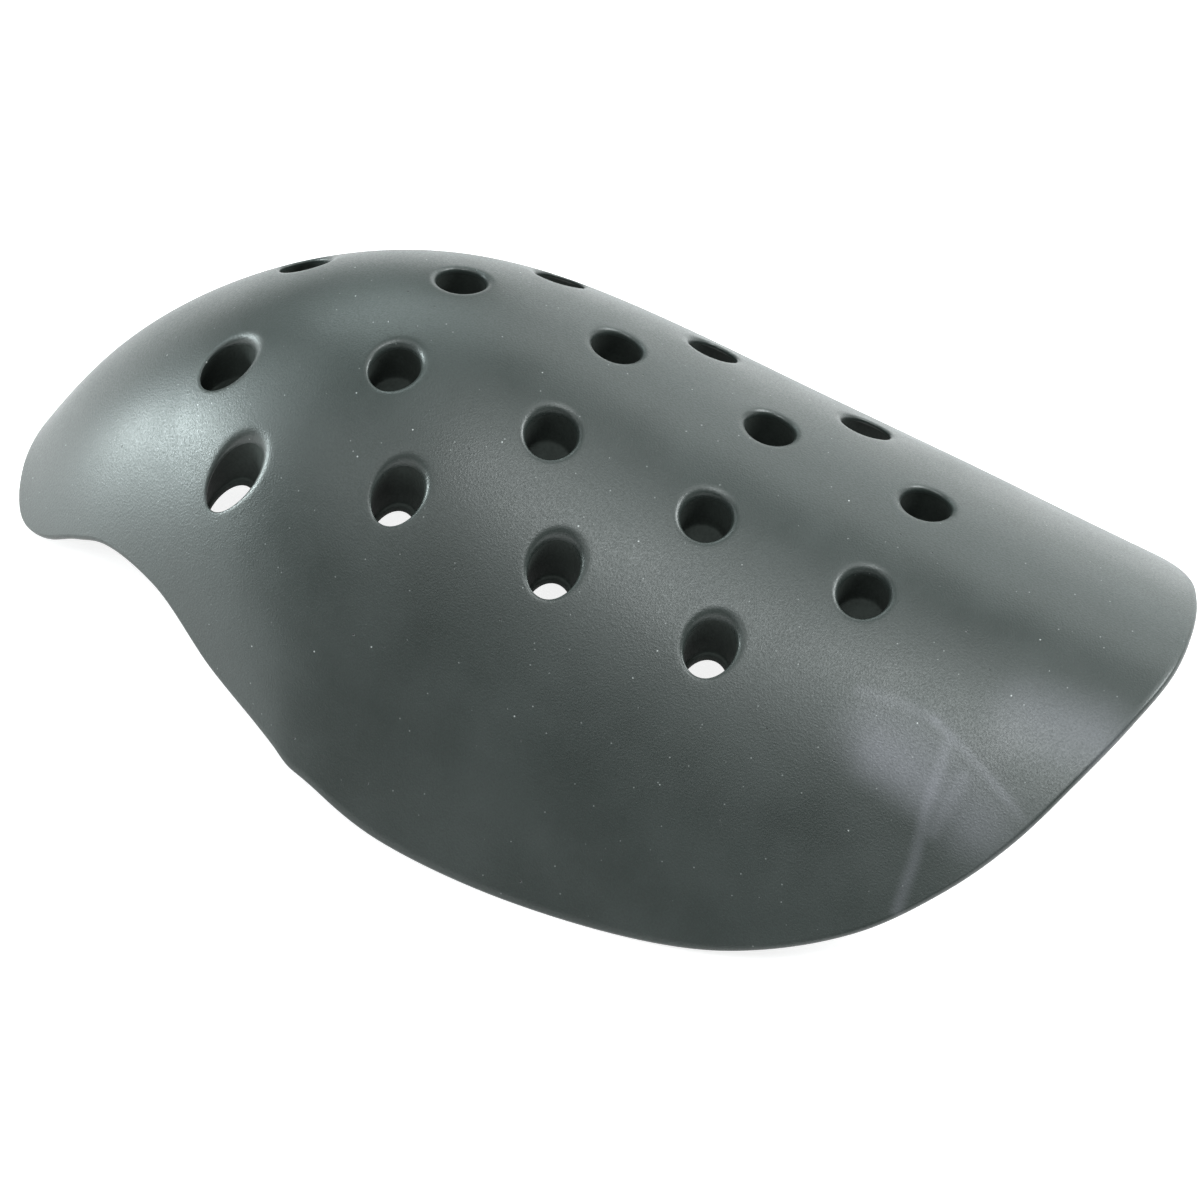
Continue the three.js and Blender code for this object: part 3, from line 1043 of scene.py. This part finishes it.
@dataclass(frozen=True)
class ShadedBoreFinish:
    """The matte wall that a mould's pin leaves in a hole; its colour is darker than the skin's as painted
    shade in the bore.
    """

    dark: tuple[float, float, float] = (0.012, 0.015, 0.013)
    light: tuple[float, float, float] = (0.022, 0.027, 0.024)
    roughness: float = 0.78
    shine: float = 0.25
    grain_size: float = 0.0006
    grain_depth: float = 0.0001
    mottle_size: float = 0.006
    mottle_share: float = 0.6
    grain_share: float = 0.4
    blotch_range: tuple[float, float] = (0.3, 0.7)

    def build(self) -> bpy.types.Material:
        """Makes the bores' material."""
        wall = Skin("matte_shaded_bore_wall")
        grain = wall.noise(self.grain_size)
        mottle = wall.noise(self.mottle_size, detail=3.0)
        blotch = wall.weigh((mottle, self.mottle_share), (grain, self.grain_share))
        lightness = wall.between(blotch, *self.blotch_range)
        # Painted shade: the bore's colours are darker than the skin's for the shade down the hole.
        colour = wall.mix(lightness, (*self.dark, 1.0), (*self.light, 1.0))
        wall.feed(wall.surface.inputs["Base Color"], colour)
        wall.surface.inputs["Roughness"].default_value = self.roughness
        wall.surface.inputs["Specular IOR Level"].default_value = self.shine
        wall.roughen(grain, self.grain_depth)
        return wall.material


@dataclass(frozen=True)
class FoamSkin:
    """The closed skin of moulded polyurethane foam, dark grey with a soft broad sheen.

    In a few places it has pale creases and patches, partly worn pale by rubbing and partly
    painted highlight, and it holds a little dust, a few lint fibres and the pinholes of burst
    bubbles, whose near-black colour is painted shade. The fine grain also varies how rough
    the skin is, by sparkle in all, which makes its sheen glint.
    """

    dark: tuple[float, float, float] = (0.012, 0.016, 0.014)
    light: tuple[float, float, float] = (0.024, 0.030, 0.028)
    bloom_and_highlight: tuple[float, float, float] = (0.120, 0.120, 0.135)
    dust: tuple[float, float, float] = (0.55, 0.57, 0.56)
    pinhole_shade: tuple[float, float, float] = (0.002, 0.002, 0.002)
    roughness: float = 0.40
    grain_size: float = 0.00038
    grain_depth: float = 0.00009
    mottle_size: float = 0.017
    cloud_size: float = 0.045
    mottle_share: float = 0.30
    cloud_share: float = 0.20
    grain_share: float = 0.50
    blotch_range: tuple[float, float] = (0.3, 0.7)
    smoother: float = 0.03
    rougher: float = 0.04
    sparkle: float = 0.3
    rub_and_highlight_patchiness: float = 0.7
    pit_depth: float = 2.0
    pinhole_shade_cover: float = 0.85
    faint_cover: float = 0.20
    bright_cover: float = 0.5
    lint_cover: float = 0.4
    lint_turns: tuple[float, ...] = (24.0, 118.0)
    # Pale marks, partly worn by rubbing and partly painted highlight on the flank.
    marks: tuple[RubAndHighlightMark, ...] = (
        RubAndHighlightMark(
            points=((69.3, -27.9, 42.6), (76.9, -27.0, 42.0), (83.9, -27.0, 40.8)),
            half_width=2.0,
            strength=0.24,
        ),
        RubAndHighlightMark(
            points=((83.9, -27.0, 40.8), (89.7, -28.6, 38.6), (99.3, -31.8, 34.5), (106.4, -34.0, 30.0)),
            half_width=1.5,
            strength=0.42,
        ),
        RubAndHighlightMark(
            points=((75.0, -33.0, 38.0), (86.0, -33.0, 36.5), (97.0, -37.0, 31.0)),
            half_width=11.0,
            strength=0.50,
        ),
        RubAndHighlightMark(
            points=((87.7, -29.4, 38.4), (88.1, -39.4, 29.8), (89.0, -45.1, 23.8), (88.7, -51.5, 16.6)),
            half_width=2.0,
            strength=0.38,
        ),
        RubAndHighlightMark(points=((99.0, -20.0, 41.5), (111.0, -18.0, 41.0)), half_width=11.0, strength=0.50),
        RubAndHighlightMark(points=((77.2, -35.6, 35.3), (85.8, -36.7, 32.7)), half_width=7.5, strength=0.44),
        RubAndHighlightMark(points=((92.5, -33.0, 35.0), (90.5, -41.0, 28.0)), half_width=2.4, strength=0.28),
    )

    def build(self) -> bpy.types.Material:
        """Makes the foam's material."""
        skin = Skin("moulded_foam_skin")
        grain = skin.noise(self.grain_size)
        mottle = skin.noise(self.mottle_size, detail=4.0)
        # The pinholes dent the bump, and their mask also paints shade into the colour.
        pits_with_shade = skin.specks(size=0.0033, radius=0.00028, share=0.10)
        colour = self.colour(skin, grain, mottle, pits_with_shade)
        skin.feed(skin.surface.inputs["Base Color"], colour)
        rough = skin.add("ShaderNodeMapRange")
        skin.feed(rough.inputs["Value"], mottle)
        rough.inputs["From Min"].default_value, rough.inputs["From Max"].default_value = self.blotch_range
        rough.inputs["To Min"].default_value = self.roughness - self.smoother
        rough.inputs["To Max"].default_value = self.roughness + self.rougher
        sparkle = skin.math("MULTIPLY_ADD", grain, -self.sparkle, 0.5 * self.sparkle)
        roughness = skin.math("ADD", rough.outputs["Result"], sparkle, clamp=True)
        skin.feed(skin.surface.inputs["Roughness"], roughness)
        height = skin.math("SUBTRACT", grain, skin.math("MULTIPLY", pits_with_shade, self.pit_depth))
        skin.roughen(height, self.grain_depth)
        return skin.material

    def colour(
        self,
        skin: Skin,
        grain: bpy.types.NodeSocket,
        mottle: bpy.types.NodeSocket,
        pits_with_shade: bpy.types.NodeSocket,
    ) -> bpy.types.NodeSocket:
        """Mixes the skin's colour.

        Args:
            skin: the material's nodes.
            grain: the fine grain, 0 to 1.
            mottle: the soft blotches, 0 to 1.
            pits_with_shade: the pinholes, 0 to 1.

        Returns:
            The colour.
        """
        cloud = skin.noise(self.cloud_size, detail=1.0)
        blotch = skin.weigh(
            (mottle, self.mottle_share), (cloud, self.cloud_share), (grain, self.grain_share)
        )
        lightness = skin.between(blotch, *self.blotch_range)
        colour = skin.mix(lightness, (*self.dark, 1.0), (*self.light, 1.0))
        # Painted highlight: the pale marks brighten the colour, partly for wear and partly for light on
        # the flank.
        rubbed_and_highlit = skin.weigh(*((skin.mark(mark), mark.strength) for mark in self.marks))
        patchy = skin.weigh((mottle, self.rub_and_highlight_patchiness), (grain, self.rub_and_highlight_patchiness))
        rubbed_and_highlit = skin.math("MULTIPLY", rubbed_and_highlit, patchy, clamp=True)
        colour = skin.mix(rubbed_and_highlit, colour, (*self.bloom_and_highlight, 1.0))
        faint = skin.specks(size=0.0021, radius=0.00020, share=0.45)
        colour = skin.mix(skin.math("MULTIPLY", faint, self.faint_cover), colour, (*self.dust, 1.0))
        bright = skin.specks(size=0.0027, radius=0.00021, share=0.13)
        colour = skin.mix(skin.math("MULTIPLY", bright, self.bright_cover), colour, (*self.dust, 1.0))
        for turn in self.lint_turns:
            lint = skin.fibres(size=0.0052, stretch=11.0, turn=turn, radius=0.00010, share=0.22)
            colour = skin.mix(skin.math("MULTIPLY", lint, self.lint_cover), colour, (*self.dust, 1.0))
        # Painted shade: the pinholes are coloured near black for the shade inside them.
        return skin.mix(skin.math("MULTIPLY", pits_with_shade, self.pinhole_shade_cover), colour, (*self.pinhole_shade, 1.0))


class Tint(Enum):
    """The colours of the studio's lights."""

    COOL = (0.87, 1.0, 1.0)
    PALE = (0.94, 1.0, 1.0)


@dataclass(frozen=True)
class SoftLight:
    """A soft rectangular light that faces the pad.

    azimuth is degrees round from the pad's near side towards +X, elevation is degrees above
    the floor, distance and size are metres, and power is watts.
    """

    name: str
    azimuth: float
    elevation: float
    distance: float
    size: tuple[float, float]
    power: float
    tint: Tint


@dataclass
class Studio:
    """The pale floor, the soft lights and the camera."""

    aim: tuple[float, float, float] = (0.0075, -0.0108, 0.0219)
    azimuth: float = 28.24
    elevation: float = 45.34
    roll: float = -0.995
    distance: float = 1.6757
    lens: float = 272.16
    sensor: float = 36.0
    floor_size: float = 9.0
    floor_colour: tuple[float, float, float] = (0.50, 0.50, 0.50)
    floor_roughness: float = 0.9
    floor_shine: float = 0.1
    floor_glow: float = 0.84
    surround_colour: tuple[float, float, float] = (0.95, 0.97, 1.0)
    surround_glow: float = 0.02
    lights: tuple[SoftLight, ...] = (
        SoftLight("left_low_softbox", -80.0, 5.0, 1.8, (0.6, 0.3), 27.0, Tint.COOL),
        SoftLight("left_softbox", -84.0, 30.0, 1.8, (0.9, 0.7), 6.5, Tint.COOL),
        SoftLight("left_rear_softbox", -130.0, 38.0, 1.8, (1.0, 0.8), 12.5, Tint.COOL),
        SoftLight("rear_low_softbox", 180.0, 14.0, 2.2, (1.6, 0.8), 13.0, Tint.PALE),
        SoftLight("rear_softbox", 180.0, 42.0, 2.0, (1.4, 0.8), 12.5, Tint.PALE),
        SoftLight("right_rear_softbox", 125.0, 42.0, 2.0, (1.0, 0.8), 60.0, Tint.PALE),
        SoftLight("overhead_softbox", 20.0, 82.0, 1.9, (1.2, 1.2), 14.5, Tint.PALE),
        SoftLight("near_left_softbox", -35.0, 40.0, 2.2, (1.2, 1.0), 11.0, Tint.PALE),
        SoftLight("near_high_softbox", 20.0, 62.0, 2.2, (1.0, 0.8), 28.0, Tint.PALE),
    )

    def build_floor(self) -> bpy.types.Object:
        """Lays the floor under the pad."""
        bm = bmesh.new()
        bmesh.ops.create_grid(bm, x_segments=2, y_segments=2, size=self.floor_size)
        mesh = bpy.data.meshes.new("studio_floor")
        bm.to_mesh(mesh)
        bm.free()
        floor = bpy.data.objects.new("studio_floor", mesh)
        bpy.context.scene.collection.objects.link(floor)
        paint = Skin("floor_paint")
        paint.surface.inputs["Base Color"].default_value = (*self.floor_colour, 1.0)
        paint.surface.inputs["Roughness"].default_value = self.floor_roughness
        paint.surface.inputs["Specular IOR Level"].default_value = self.floor_shine
        paint.surface.inputs["Emission Color"].default_value = (1.0, 1.0, 1.0, 1.0)
        paint.surface.inputs["Emission Strength"].default_value = self.floor_glow
        mesh.materials.append(paint.material)
        return floor

    def add_light(self, light: SoftLight) -> None:
        """Hangs a light where it faces the pad."""
        data = bpy.data.lights.new(light.name, "AREA")
        data.shape = "RECTANGLE"
        data.size, data.size_y = light.size
        data.energy = light.power
        data.color = light.tint.value
        lamp = bpy.data.objects.new(light.name, data)
        back = self.towards(light.azimuth, light.elevation)
        lamp.location = Vector(self.aim) + back * light.distance
        lamp.rotation_euler = back.to_track_quat("Z", "Y").to_euler()
        bpy.context.scene.collection.objects.link(lamp)

    @staticmethod
    def towards(azimuth: float, elevation: float) -> Vector:
        """The direction from the pad at an azimuth and elevation in degrees."""
        turn, lift = math.radians(azimuth), math.radians(elevation)
        return Vector((math.sin(turn) * math.cos(lift), -math.cos(turn) * math.cos(lift), math.sin(lift)))

    def build_lights(self) -> None:
        """Hangs the studio's lights and sets the pale surround."""
        for light in self.lights:
            self.add_light(light)
        world = bpy.data.worlds.new("pale_surround")
        bpy.context.scene.world = world
        world.use_nodes = True
        tree = world.node_tree
        glow = tree.nodes["Background"]
        glow.inputs["Color"].default_value = (*self.surround_colour, 1.0)
        glow.inputs["Strength"].default_value = self.surround_glow
        seen = tree.nodes.new("ShaderNodeBackground")
        seen.inputs["Color"].default_value = (1.0, 1.0, 1.0, 1.0)
        ray = tree.nodes.new("ShaderNodeLightPath")
        choice = tree.nodes.new("ShaderNodeMixShader")
        tree.links.new(ray.outputs["Is Camera Ray"], choice.inputs[0])
        tree.links.new(glow.outputs[0], choice.inputs[1])
        tree.links.new(seen.outputs[0], choice.inputs[2])
        tree.links.new(choice.outputs[0], tree.nodes["World Output"].inputs["Surface"])
        bpy.context.scene.view_settings.view_transform = "Standard"

    def build_camera(self) -> None:
        """Sets the camera at the photograph's angle to the pad."""
        data = bpy.data.cameras.new("studio_camera")
        data.lens = self.lens
        data.sensor_width = self.sensor
        data.clip_end = 50.0
        camera = bpy.data.objects.new("studio_camera", data)
        turn, lift = math.radians(self.azimuth), math.radians(self.elevation)
        camera.location = Vector(self.aim) + self.towards(self.azimuth, self.elevation) * self.distance
        level = Euler((math.pi / 2.0 - lift, 0.0, turn)).to_matrix()
        tilt = Matrix.Rotation(math.radians(self.roll), 3, "Z")
        camera.rotation_euler = (level @ tilt).to_euler()
        bpy.context.scene.collection.objects.link(camera)
        bpy.context.scene.camera = camera


def main() -> None:
    """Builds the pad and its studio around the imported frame."""
    logging.basicConfig(level=logging.INFO, format="%(message)s")
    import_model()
    studio = Studio()
    studio.build_camera()
    studio.build_lights()
    studio.build_floor()
    pad = FoamShell(ShellForm()).build()
    pad.data.materials.append(FoamSkin().build())
    pad.data.materials.append(ShadedBoreFinish().build())
    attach(pad, "root")
    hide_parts(PAD_NODE)


if __name__ == "__main__":
    main()
